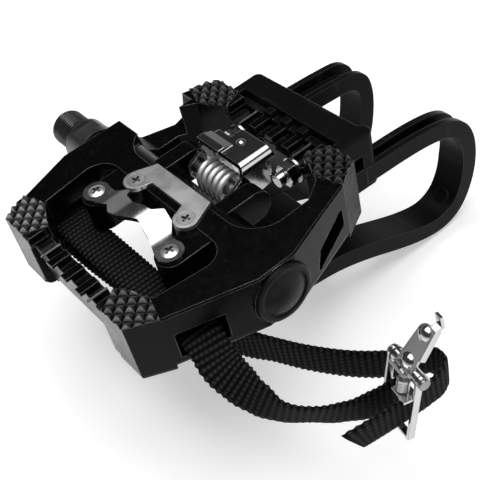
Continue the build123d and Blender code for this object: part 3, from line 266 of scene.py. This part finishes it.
class Shader:
    """Node tree of one material, with the calls that the materials below share."""

    def __init__(self, name):
        self.material = bpy.data.materials.new(name)
        self.material.use_nodes = True
        self.tree = self.material.node_tree
        self.bsdf = self.tree.nodes["Principled BSDF"]

    def add(self, kind, inputs=None, **settings):
        made = self.tree.nodes.new(kind)
        for key, value in settings.items():
            setattr(made, key, value)
        for key, value in (inputs or {}).items():
            if isinstance(value, bpy.types.NodeSocket):
                self.tree.links.new(value, made.inputs[key])
            else:
                made.inputs[key].default_value = value
        return made

    def coordinates(self, stretch=(1, 1, 1), kind="Object"):
        source = self.add("ShaderNodeTexCoord").outputs[kind]
        return self.add("ShaderNodeMapping", {"Vector": source, "Scale": stretch}).outputs["Vector"]

    def noise(self, scale, detail=3.0, stretch=(1, 1, 1)):
        place = self.coordinates(stretch)
        inputs = {"Vector": place, "Scale": scale, "Detail": detail, "Roughness": NOISE_ROUGHNESS}
        return self.add("ShaderNodeTexNoise", inputs).outputs["Fac"]

    def spread(self, value, source, result=(0.0, 1.0)):
        """The value, carried from the source's span to the result's and held at its ends."""
        made = self.add("ShaderNodeMapRange", {
            "Value": value,
            "From Min": source[0], "From Max": source[1],
            "To Min": result[0], "To Max": result[1],
        })
        return made.outputs["Result"]

    def math(self, operation, first, second=0.0):
        return self.add("ShaderNodeMath", {0: first, 1: second}, operation=operation).outputs["Value"]

    def product(self, first, *others):
        for other in others:
            first = self.math("MULTIPLY", first, other)
        return first

    def mix(self, factor, first, second):
        inputs = {0: factor, 6: first, 7: second}
        return self.add("ShaderNodeMix", inputs, data_type="RGBA").outputs[2]

    def shades(self, factor, pair):
        return self.mix(factor, grey(pair[0]), grey(pair[1]))

    def trace(self, base, mask, shade, share=1.0):
        """The base with a grey laid over it where the mask is 1, at the given share."""
        return self.mix(self.product(mask, share), base, grey(shade))

    def axis(self, letter, kind="Object"):
        """One axis of the place, in metres, or of the normal, in the node's own frame."""
        place = self.add("ShaderNodeTexCoord").outputs[kind]
        return self.add("ShaderNodeSeparateXYZ", {"Vector": place}).outputs[letter]

    def soft_normal(self, width):
        return self.add("ShaderNodeBevel", {"Radius": width * MM}, samples=EDGE_SAMPLES).outputs["Normal"]

    def edges(self, width, span=RIM_SPAN):
        """0 on flat faces, 1 along sharp edges."""
        inputs = {0: self.soft_normal(width), 1: self.add("ShaderNodeNewGeometry").outputs["True Normal"]}
        same = self.add("ShaderNodeVectorMath", inputs, operation="DOT_PRODUCT").outputs["Value"]
        return self.spread(same, span)

    def openness(self, reach):
        """1 in the open, falling towards 0 in corners and grooves."""
        inputs = {"Distance": reach * MM}
        return self.add("ShaderNodeAmbientOcclusion", inputs, samples=CORNER_SAMPLES).outputs["AO"]

    def bump(self, height, strength, depth=GRAIN_DEPTH, soft_edge=0.0):
        inputs = {"Height": height, "Strength": strength, "Distance": depth * MM}
        if soft_edge:
            inputs["Normal"] = self.soft_normal(soft_edge)
        self.link(self.add("ShaderNodeBump", inputs).outputs["Normal"], "Normal")

    def link(self, socket, name):
        self.tree.links.new(socket, self.bsdf.inputs[name])

    def set(self, **values):
        for key, value in values.items():
            self.bsdf.inputs[key.replace("_", " ")].default_value = value


# Materials

def knurl_wear_and_highlight(paint, open_share):
    """Share of paler coat on the pads: partly bare metal worn through, partly a painted highlight on facets
    facing out and back and at the crank's rear pad, with painted shade in the valleys.
    """
    facing = paint.math("SUBTRACT", paint.axis("X", "Normal"), paint.axis("Y", "Normal"))
    return paint.product(
        paint.spread(paint.axis("Z"), in_metres(KNURL_Z)),
        paint.spread(paint.noise(240, detail=4.0), (0.3, 0.62), (0.45, 1.0)),
        paint.spread(facing, (0.0, 0.6), (0.16, 1.0)),
        paint.spread(open_share, (0.45, 0.85), (0.1, 1.0)),
        paint.spread(paint.axis("Y"), in_metres(KNURL_FADE_Y), (1.0, 0.24)),
        paint.spread(paint.axis("X"), in_metres(KNURL_FADE_X), (1.0, 0.55)),
    )


def rear_face_sheen_and_scrape(paint):
    """Share of paler coat on the rear face: a painted reflection, partly paint scraped to bare metal, which
    thins out downwards.
    """
    return paint.product(
        paint.spread(paint.axis("Y", "Normal"), (-0.9, -0.98)),
        paint.spread(paint.noise(60), (0.35, 0.65), (0.6, 1.0)),
        paint.spread(paint.axis("Y"), in_metres(REAR_FACE_Y)),
        paint.spread(paint.axis("Z"), in_metres(REAR_FACE_Z), (0.15, 1.0)),
    )


def cast_paint():
    """Black coat with grain, paled on edges by wear and a painted highlight, on the pads' knurl by wear,
    painted highlight and painted shade, and on the rear face by a painted reflection.
    """
    paint = Shader("cast_paint")
    cloud = paint.noise(70)
    specks = paint.spread(paint.noise(420, detail=2.0), (0.63, 0.72))
    open_share = paint.openness(COAT_CORNERS)
    edge_wear_and_highlight = paint.product(
        paint.edges(COAT_WEAR_AND_HIGHLIGHT_WIDTH, (0.96, 0.78)),
        paint.spread(cloud, (0.35, 0.6), (0.4, 1.0)),
        paint.spread(open_share, (0.72, 0.92)),
    )
    base = paint.shades(cloud, COAT)
    base = paint.trace(base, specks, COAT_SPECKS, share=0.2)
    # Pads paled by worn coat and by a painted highlight, with painted shade in the knurl's valleys
    base = paint.trace(base, knurl_wear_and_highlight(paint, open_share), KNURL_WEAR_AND_HIGHLIGHT)
    # Rear face paled by a painted reflection, partly by scraped coat
    base = paint.trace(base, rear_face_sheen_and_scrape(paint), REAR_SHEEN_AND_SCRAPE)
    # Edges paled by wear and by a painted highlight
    paint.link(paint.trace(base, edge_wear_and_highlight, COAT_EDGE_WEAR_AND_HIGHLIGHT, share=0.85), "Base Color")
    paint.link(paint.spread(paint.noise(300, detail=4.0), NOISE_SPAN, (0.2, 0.32)), "Roughness")
    paint.link(paint.spread(edge_wear_and_highlight, (0.0, 1.0), (0.09, 0.9)), "Specular IOR Level")
    paint.bump(paint.noise(1500), strength=0.14, soft_edge=0.4)
    return paint.material


def moulded_nylon():
    """Black nylon with drawn-out scuffs and faintly paler edges, from wear and a painted highlight."""
    nylon = Shader("moulded_nylon")
    cloud = nylon.noise(45)
    edge_wear_and_highlight = nylon.edges(NYLON_WEAR_AND_HIGHLIGHT_WIDTH, (0.95, 0.75))
    scuffs = nylon.spread(nylon.noise(130, detail=4.0, stretch=(0.25, 1.6, 1.0)), (0.6, 0.72))
    base = nylon.trace(nylon.shades(cloud, NYLON), scuffs, NYLON_SCUFFS, share=0.5)
    # Edges paled by wear and by a painted highlight
    nylon.link(nylon.trace(base, edge_wear_and_highlight, NYLON_EDGE_WEAR_AND_HIGHLIGHT, share=0.5), "Base Color")
    nylon.link(nylon.spread(cloud, NOISE_SPAN, (0.26, 0.38)), "Roughness")
    nylon.link(nylon.spread(edge_wear_and_highlight, (0.0, 1.0), (0.045, 0.6)), "Specular IOR Level")
    nylon.bump(nylon.noise(2400, detail=2.0), strength=0.14, soft_edge=0.6)
    return nylon.material


def cap_plastic():
    """Satin plastic of the dust cap."""
    cap = Shader("cap_plastic")
    cap.link(cap.shades(cap.noise(110), CAP), "Base Color")
    cap.link(cap.spread(cap.noise(700), NOISE_SPAN, (0.34, 0.5)), "Roughness")
    cap.set(Specular_IOR_Level=0.14)
    cap.bump(cap.noise(2600, detail=2.0), strength=0.12, soft_edge=0.4)
    return cap.material


def bright_plate(name, shades, painted_rim_tone):
    """Chrome sheet, with a painted reflection along the edges: painted shade where the rim is dark, a painted
    highlight where it is bright.
    """
    chrome = Shader(name)
    smear = chrome.noise(90, detail=4.0)
    fine = chrome.noise(1400, stretch=(1, 0.2, 0.6))
    base = chrome.shades(smear, shades)
    chrome.link(chrome.trace(base, chrome.edges(RIM_WIDTH), painted_rim_tone, share=0.5), "Base Color")
    smeared = chrome.spread(smear, NOISE_SPAN, (0.08, 0.16))
    scratched = chrome.spread(fine, (0.4, 0.8), (0.0, 0.06))
    chrome.link(chrome.math("ADD", smeared, scratched), "Roughness")
    chrome.set(Metallic=1.0)
    chrome.bump(fine, strength=0.06, soft_edge=0.35)
    return chrome.material


def satin_plate(name, shades, roughness):
    """Plated steel that is duller than the bright sheet, with painted shade in its recesses and along its
    rims.
    """
    plate = Shader(name)
    cloud = plate.noise(160)
    painted_recess_shade = plate.spread(plate.openness(PLATE_CORNERS), (0.35, 0.85), (0.9, 0.0))
    base = plate.shades(cloud, shades)
    base = plate.trace(base, plate.edges(RIM_WIDTH), shades[0] * RIM_SHADE_DARKENING, share=0.7)
    plate.link(plate.trace(base, painted_recess_shade, shades[0] * RECESS_SHADE_DARKENING), "Base Color")
    plate.link(plate.spread(cloud, NOISE_SPAN, roughness), "Roughness")
    plate.set(Metallic=1.0)
    plate.bump(plate.noise(1800, detail=2.0), strength=0.06)
    return plate.material


def brushed_plate():
    """Steel with brush lines along X and painted shade along its edges."""
    steel = Shader("brushed_plate")
    lines = steel.noise(500, detail=4.0, stretch=(0.12, 3.0, 1.0))
    base = steel.shades(lines, BRUSHED)
    steel.link(steel.trace(base, steel.edges(RIM_WIDTH), PAINTED_DARK_RIM, share=0.6), "Base Color")
    steel.link(steel.spread(steel.noise(120), NOISE_SPAN, (0.3, 0.44)), "Roughness")
    steel.set(Metallic=1.0)
    steel.bump(lines, strength=0.12, soft_edge=0.4)
    return steel.material


def turning_lines(steel):
    """Noise drawn out round the X axis, as a lathe leaves it."""
    return steel.noise(900, stretch=(3.0, 0.2, 0.2))


def turned_steel():
    """Steel with lathe lines."""
    steel = Shader("turned_steel")
    lines = turning_lines(steel)
    steel.link(steel.shades(steel.noise(140), TURNED), "Base Color")
    steel.link(steel.spread(lines, NOISE_SPAN, (0.24, 0.42)), "Roughness")
    steel.set(Metallic=1.0)
    steel.bump(lines, strength=0.1, soft_edge=0.3)
    return steel.material


def blackened_steel():
    """Dark steel of the spindle, with painted shade in the thread's roots and edges paled by wear and a
    painted highlight.
    """
    steel = Shader("blackened_steel")
    lines = turning_lines(steel)
    edge_wear_and_highlight = steel.edges(THREAD_WEAR_AND_HIGHLIGHT_WIDTH, (0.95, 0.7))
    across = steel.add("ShaderNodeCombineXYZ", {"Y": steel.axis("Y"), "Z": steel.axis("Z")}).outputs["Vector"]
    radius = steel.add("ShaderNodeVectorMath", {0: across}, operation="LENGTH").outputs["Value"]
    # Painted shade in the thread's roots, clearing towards the crests
    crest = steel.spread(radius, in_metres(THREAD_SHADE_RADII))
    base = steel.mix(crest, grey(THREAD_ROOT_SHADE), steel.shades(steel.noise(160), BLACKENED))
    steel.link(steel.trace(base, edge_wear_and_highlight, BLACKENED_EDGE_WEAR_AND_HIGHLIGHT, share=0.5), "Base Color")
    steel.link(steel.spread(lines, NOISE_SPAN, (0.28, 0.46)), "Roughness")
    steel.set(Metallic=1.0)
    steel.bump(lines, strength=0.1)
    return steel.material


def sintered_bronze():
    """Porous bronze of the hidden bush."""
    bronze = Shader("sintered_bronze")
    pores = bronze.noise(1600)
    bronze.link(bronze.mix(pores, BRONZE_DARK, BRONZE_LIGHT), "Base Color")
    bronze.link(bronze.spread(pores, NOISE_SPAN, (0.35, 0.55)), "Roughness")
    bronze.set(Metallic=1.0)
    bronze.bump(pores, strength=0.15)
    return bronze.material


def soft_rubber():
    """Matt rubber of the seal, with a little bloom."""
    rubber = Shader("soft_rubber")
    bloom = rubber.noise(260, detail=4.0)
    rubber.link(rubber.shades(bloom, RUBBER), "Base Color")
    rubber.link(rubber.spread(bloom, NOISE_SPAN, (0.6, 0.8)), "Roughness")
    rubber.bump(rubber.noise(2200, detail=2.0), strength=0.15)
    return rubber.material


def webbing():
    """Ribbed cloth: one rib for each unit of U, each rib a row of staggered yarn floats across V."""
    cloth = Shader("webbing")
    split = cloth.add("ShaderNodeSeparateXYZ", {"Vector": cloth.coordinates(kind="UV")}).outputs
    wave = cloth.math("COSINE", cloth.product(split["X"], FULL_TURN))
    # Colour darkest between ribs: painted shade in the grooves, over the weave's own pattern of floats
    ridge = cloth.math("POWER", cloth.spread(wave, (-0.9, 0.9)), 1.5)
    stagger = cloth.product(cloth.math("FLOOR", cloth.math("ADD", split["X"], 0.5)), math.pi)
    float_turn = cloth.math("ADD", cloth.product(split["Y"], FLOATS * FULL_TURN), stagger)
    floats = cloth.spread(cloth.math("COSINE", float_turn), (-0.8, 0.3))
    fuzz = cloth.noise(2600)
    yarn = cloth.spread(floats, (0.0, 1.0), (0.35, 1.0))
    shade = cloth.product(ridge, yarn, cloth.spread(fuzz, NOISE_SPAN, (0.6, 1.1)))
    cloth.link(cloth.shades(shade, CLOTH), "Base Color")
    cloth.link(cloth.spread(fuzz, NOISE_SPAN, (0.6, 0.8)), "Roughness")
    cloth.set(Specular_IOR_Level=0.08)
    relief = cloth.math("ADD", cloth.product(floats, ridge), cloth.product(fuzz, 0.4))
    cloth.bump(relief, strength=0.6, depth=YARN_DEPTH)
    return cloth.material


MATERIALS = {
    "cast_body": cast_paint(),
    "steel": turned_steel(),
    "chrome": bright_plate("bright_plate", CHROME, PAINTED_DARK_RIM),
    "bronze": sintered_bronze(),
    "rubber": soft_rubber(),
    "cap_plastic": cap_plastic(),
    "clip_plastic": moulded_nylon(),
    "webbing": webbing(),
}
SCREW_PLATE = satin_plate("screw_plate", SCREW, (0.32, 0.42))
BINDING_PLATE = bright_plate("binding_plate", BINDING, PAINTED_BRIGHT_RIM)

# Nodes that look different from the rest of their slot
OWN_MATERIAL = {
    "rear_claw": BINDING_PLATE,
    "claw_rivet": BINDING_PLATE,
    "cleat_plate": brushed_plate(),
    "spindle": blackened_steel(),
    "claw_spring": satin_plate("spring_plate", SPRING, (0.5, 0.6)),
    "front_claw": satin_plate("claw_plate", FRONT_CLAW, (0.16, 0.26)),
    "cleat_plate_screws": SCREW_PLATE,
    "front_claw_screws": SCREW_PLATE,
}

for part in frame["record"]["subparts"]:
    node = part["node"]
    dress(nodes[node], OWN_MATERIAL.get(node) or MATERIALS[part["material_slot"]])


# Mesh tools

def make_piece(name, points, faces, body, material):
    mesh = bpy.data.meshes.new(name)
    mesh.from_pydata(points, [], faces)
    mesh.update()
    mesh.shade_smooth()
    obj = place_in_scene(name, mesh)
    dress(obj, material)
    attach(obj, body)
    return obj


def ring_pairs(rings, size):
    """For each side of each band between two rings: the first ring's two points, in order round the ring."""
    for ring in range(rings - 1):
        for k in range(size):
            yield ring * size + k, ring * size + (k + 1) % size


# Spindle

def thread_radius(place, turn):
    """Outer surface of the thread, which runs out at the shoulder and at the chamfered tip.

    It winds right-hand. A left pedal's thread is left-hand, which takes a plus before turn.
    """
    wave = (place / THREAD_PITCH - turn / FULL_TURN) % 1.0
    groove = clamp(THREAD_FLANK * (1 - abs(2 * wave - 1)) - THREAD_CREST)
    fade = clamp((-place - THREAD_PLAIN) / THREAD_RUNOUT)
    chamfer = THREAD_RADIUS - THREAD_CHAMFER + (place + THREAD_LENGTH)
    return min(THREAD_RADIUS - THREAD_DEPTH * groove * fade, chamfer)


def spindle_rings():
    """Rings along the axis: place, radius at each angle and whether the wrench flats cut the ring."""
    angles = [FULL_TURN * k / SPINDLE_SIDES for k in range(SPINDLE_SIDES)]
    count = round(THREAD_LENGTH / THREAD_PITCH * THREAD_STEPS)
    closed = [0.0] * SPINDLE_SIDES
    rings = [(-THREAD_LENGTH, closed, False)]
    for step in range(count + 1):
        place = -THREAD_LENGTH + THREAD_LENGTH * step / count
        rings.append((place, [thread_radius(place, turn) for turn in angles], False))
    ends = [place for place, radius in SPINDLE_STEPS[1:]]
    wrench_end = ends[0]
    for (start, radius), end in zip(SPINDLE_STEPS, ends):
        around = [radius] * SPINDLE_SIDES
        rings.append((start, around, False))
        if end == wrench_end:
            flat_ends = (FLAT_EDGE, end - FLAT_EDGE)
            rings += [(flat_ends[0], around, cut) for cut in (False, True)]
            rings += [(flat_ends[1], around, cut) for cut in (True, False)]
        rings.append((end, around, False))
    rings.append((ends[-1], closed, False))
    return angles, rings


def build_spindle():
    angles, rings = spindle_rings()
    points = []
    for place, radii, cut in rings:
        for turn, radius in zip(angles, radii):
            y, z = radius * math.cos(turn), radius * math.sin(turn)
            if cut:
                z = min(max(z, -WRENCH_FLATS / 2), WRENCH_FLATS / 2)
            points.append(Vector((place, y, z)) * MM)
    faces = [(a, a + SPINDLE_SIDES, b + SPINDLE_SIDES, b) for a, b in ring_pairs(len(rings), SPINDLE_SIDES)]
    obj = make_piece("threaded_spindle", points, faces, "spindle", OWN_MATERIAL["spindle"])
    welded = bmesh.new()
    welded.from_mesh(obj.data)
    bmesh.ops.remove_doubles(welded, verts=welded.verts, dist=WELD_DISTANCE)
    bmesh.ops.recalc_face_normals(welded, faces=welded.faces)
    welded.to_mesh(obj.data)
    welded.free()
    obj.data.set_sharp_from_angle(angle=SPINDLE_SHARP)
    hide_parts("spindle")


build_spindle()


# Strap

def fine_route():
    """Points and width directions on a smooth line through the route."""
    places = [Vector(place) for place, width in STRAP_ROUTE]
    widths = [Vector(width).normalized() for place, width in STRAP_ROUTE]
    last = len(places) - 1
    fine = []
    for i in range(last):
        before, start, end, beyond = (places[min(max(i + k, 0), last)] for k in (-1, 0, 1, 2))
        span = (end - start).length
        leave = (end - before) * (span / (span + (start - before).length))
        arrive = (beyond - start) * (span / ((beyond - end).length + span))
        for step in range(ROUTE_STEPS):
            share = step / ROUTE_STEPS
            ease = share ** 2 * (3 - 2 * share)
            point = start * (1 - ease) + end * ease
            point += leave * (share * (1 - share) ** 2) - arrive * (share ** 2 * (1 - share))
            fine.append((point, widths[i].lerp(widths[i + 1], ease)))
    fine.append((places[-1], widths[-1]))
    return fine


def even_route():
    """Distance, point and width direction at even steps of the line, a whole number of them to a rib."""
    fine = fine_route()
    lengths = [0.0]
    for (start, start_width), (end, end_width) in zip(fine, fine[1:]):
        lengths.append(lengths[-1] + (end - start).length)
    total = lengths[-1]
    count = round(total / RIB_PITCH) * RIB_STEPS
    even = []
    index = 0
    for step in range(count + 1):
        distance = total * step / count
        while index < len(lengths) - 2 and lengths[index + 1] < distance:
            index += 1
        share = (distance - lengths[index]) / (lengths[index + 1] - lengths[index])
        start, start_width = fine[index]
        end, end_width = fine[index + 1]
        even.append((distance, start.lerp(end, share), start_width.lerp(end_width, share)))
    return even


def strap_ring(half, ridge_top, ridge_low):
    """Cross-section of the webbing, as places across its width and through its thickness."""
    ring = []
    for side, ridge in ((1, ridge_top), (-1, ridge_low)):
        for k in range(STRAP_COLUMNS):
            share = side * (1 - 2 * k / (STRAP_COLUMNS - 1))
            rounding = math.sqrt(max(1 - abs(share) ** SELVEDGE_POWER, 0.0))
            height = (STRAP_THICKNESS / 2 + ridge) * max(rounding, SELVEDGE_SHARE)
            ring.append((share * half, side * height))
    return ring


def build_strap():
    samples = even_route()
    last = len(samples) - 1
    skew_start = samples[-1][0] - TAIL_SKEW_RUN
    size = 2 * STRAP_COLUMNS
    points, uvs = [], []
    for index, (distance, place, width) in enumerate(samples):
        ahead = samples[min(index + 1, last)][1] - samples[max(index - 1, 0)][1]
        ahead.normalize()
        across = (width - ahead * width.dot(ahead)).normalized()
        normal = ahead.cross(across)
        rise = 0.5 + 0.5 * math.cos(FULL_TURN * distance / RIB_PITCH)
        half = STRAP_WIDTH / 2 - EDGE_BUMP * (1 - rise)
        skew = TAIL_SKEW * clamp((distance - skew_start) / TAIL_SKEW_RUN) ** 2
        for aside, out in strap_ring(half, RIB_HEIGHT * rise, RIB_HEIGHT * (1 - rise)):
            spot = place + across * aside + normal * out + ahead * (aside * skew)
            points.append(in_frame(*spot))
            uvs.append((distance / RIB_PITCH, aside / STRAP_WIDTH + 0.5))
    faces = [(a, b, b + size, a + size) for a, b in ring_pairs(len(samples), size)]
    faces.append(tuple(reversed(range(size))))
    faces.append(tuple(last * size + k for k in range(size)))
    strap = make_piece("strap_webbing", points, faces, "pedal", MATERIALS["webbing"])
    layer = strap.data.uv_layers.new(name="weave")
    for loop in strap.data.loops:
        layer.data[loop.index].uv = uvs[loop.vertex_index]
    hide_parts("toe_strap")


build_strap()


# Round moulding mark inside the outer arm of the toe clip

def build_mould_mark():
    """Low disc that follows the bend of the arm's web."""
    tangent = Vector((0, math.cos(MARK_SLOPE), math.sin(MARK_SLOPE)))
    inward = Vector((0, math.sin(MARK_SLOPE), -math.cos(MARK_SLOPE)))
    points = []
    for reach, height in MARK_STEPS:
        for k in range(MARK_SIDES):
            turn = FULL_TURN * k / MARK_SIDES
            bend = reach * math.sin(turn) / MARK_BEND
            spot = Vector(MARK_PLACE) + Vector((reach * math.cos(turn), 0, 0))
            spot += tangent * ((MARK_BEND - height) * math.sin(bend))
            spot += inward * (MARK_BEND - (MARK_BEND - height) * math.cos(bend))
            points.append(in_frame(*spot))
    pairs = ring_pairs(len(MARK_STEPS), MARK_SIDES)
    faces = [(a, b, b + MARK_SIDES, a + MARK_SIDES) for a, b in pairs]
    faces.append(tuple((len(MARK_STEPS) - 1) * MARK_SIDES + k for k in range(MARK_SIDES)))
    faces.append(tuple(reversed(range(MARK_SIDES))))
    make_piece("arm_mould_mark", points, faces, "pedal", MATERIALS["clip_plastic"])


build_mould_mark()


# Camera, floor and light

def build_camera():
    """Camera at the photograph's angle, from the axes of its picture."""
    camera = place_in_scene("photo_camera", bpy.data.cameras.new("photo_camera"))
    x = Vector(CAMERA_RIGHT).normalized()
    y = -Vector(CAMERA_DOWN)
    y = (y - x * x.dot(y)).normalized()
    turned = Matrix((x, y, x.cross(y))).transposed().to_4x4()
    camera.matrix_world = Matrix.Translation(in_frame(*CAMERA_PLACE)) @ turned
    camera.data.sensor_width = CAMERA_SENSOR
    camera.data.lens = CAMERA_LENS
    camera.data.clip_start = CAMERA_NEAR
    bpy.context.scene.camera = camera


def build_floor():
    """Pale floor, seen as white from afar and keeping the object's shadow near it."""
    level = cad_box[0][2] - FLOOR_DROP
    mesh = bpy.data.meshes.new("floor")
    corners = [(-1, -1), (1, -1), (1, 1), (-1, 1)]
    mesh.from_pydata([(x * FLOOR_HALF, y * FLOOR_HALF, level) for x, y in corners], [], [(0, 1, 2, 3)])
    floor = place_in_scene("floor", mesh)
    pale = Shader("pale_floor")
    pale.set(Base_Color=FLOOR_COLOUR, Roughness=FLOOR_ROUGHNESS, Specular_IOR_Level=0.0, Emission_Color=WHITE)
    path = pale.add("ShaderNodeLightPath").outputs
    seen = pale.math("MAXIMUM", path["Is Camera Ray"], path["Is Glossy Ray"])
    seen = pale.math("MAXIMUM", seen, path["Is Transmission Ray"])
    away = pale.add("ShaderNodeVectorMath", {0: pale.coordinates()}, operation="LENGTH").outputs["Value"]
    glow = pale.spread(away, GLOW_REACH, GLOW_LEVELS)
    pale.link(pale.product(seen, glow), "Emission Strength")
    dress(floor, pale.material)


def build_world():
    """Soft surroundings, pale at the horizon and dark overhead."""
    world = bpy.data.worlds.new("studio")
    bpy.context.scene.world = world
    world.use_nodes = True
    tree = world.node_tree
    background = tree.nodes["Background"]
    direction = tree.nodes.new("ShaderNodeTexCoord")
    split = tree.nodes.new("ShaderNodeSeparateXYZ")
    level = tree.nodes.new("ShaderNodeMapRange")
    level.interpolation_type = "SMOOTHSTEP"
    level.inputs["From Min"].default_value = 0.0
    level.inputs["From Max"].default_value = HORIZON_HEIGHT
    level.inputs["To Min"].default_value = HORIZON_LEVEL
    level.inputs["To Max"].default_value = ZENITH_LEVEL
    background.inputs["Color"].default_value = WHITE
    tree.links.new(direction.outputs["Generated"], split.inputs["Vector"])
    tree.links.new(split.outputs["Z"], level.inputs["Value"])
    tree.links.new(level.outputs["Result"], background.inputs["Strength"])


def build_lamps():
    """Soft boxes that face the middle of the pedal."""
    middle = in_frame(*LIGHT_TARGET)
    for name, offset, size, power in LAMPS:
        data = bpy.data.lights.new(name, "AREA")
        data.shape = "RECTANGLE"
        data.size, data.size_y = size
        data.energy = power
        lamp = place_in_scene(name, data)
        lamp.location = middle + Vector(offset)
        lamp.rotation_euler = (-Vector(offset)).to_track_quat("-Z", "Y").to_euler()


build_camera()
build_floor()
build_world()
build_lamps()
bpy.context.scene.view_settings.view_transform = "Standard"
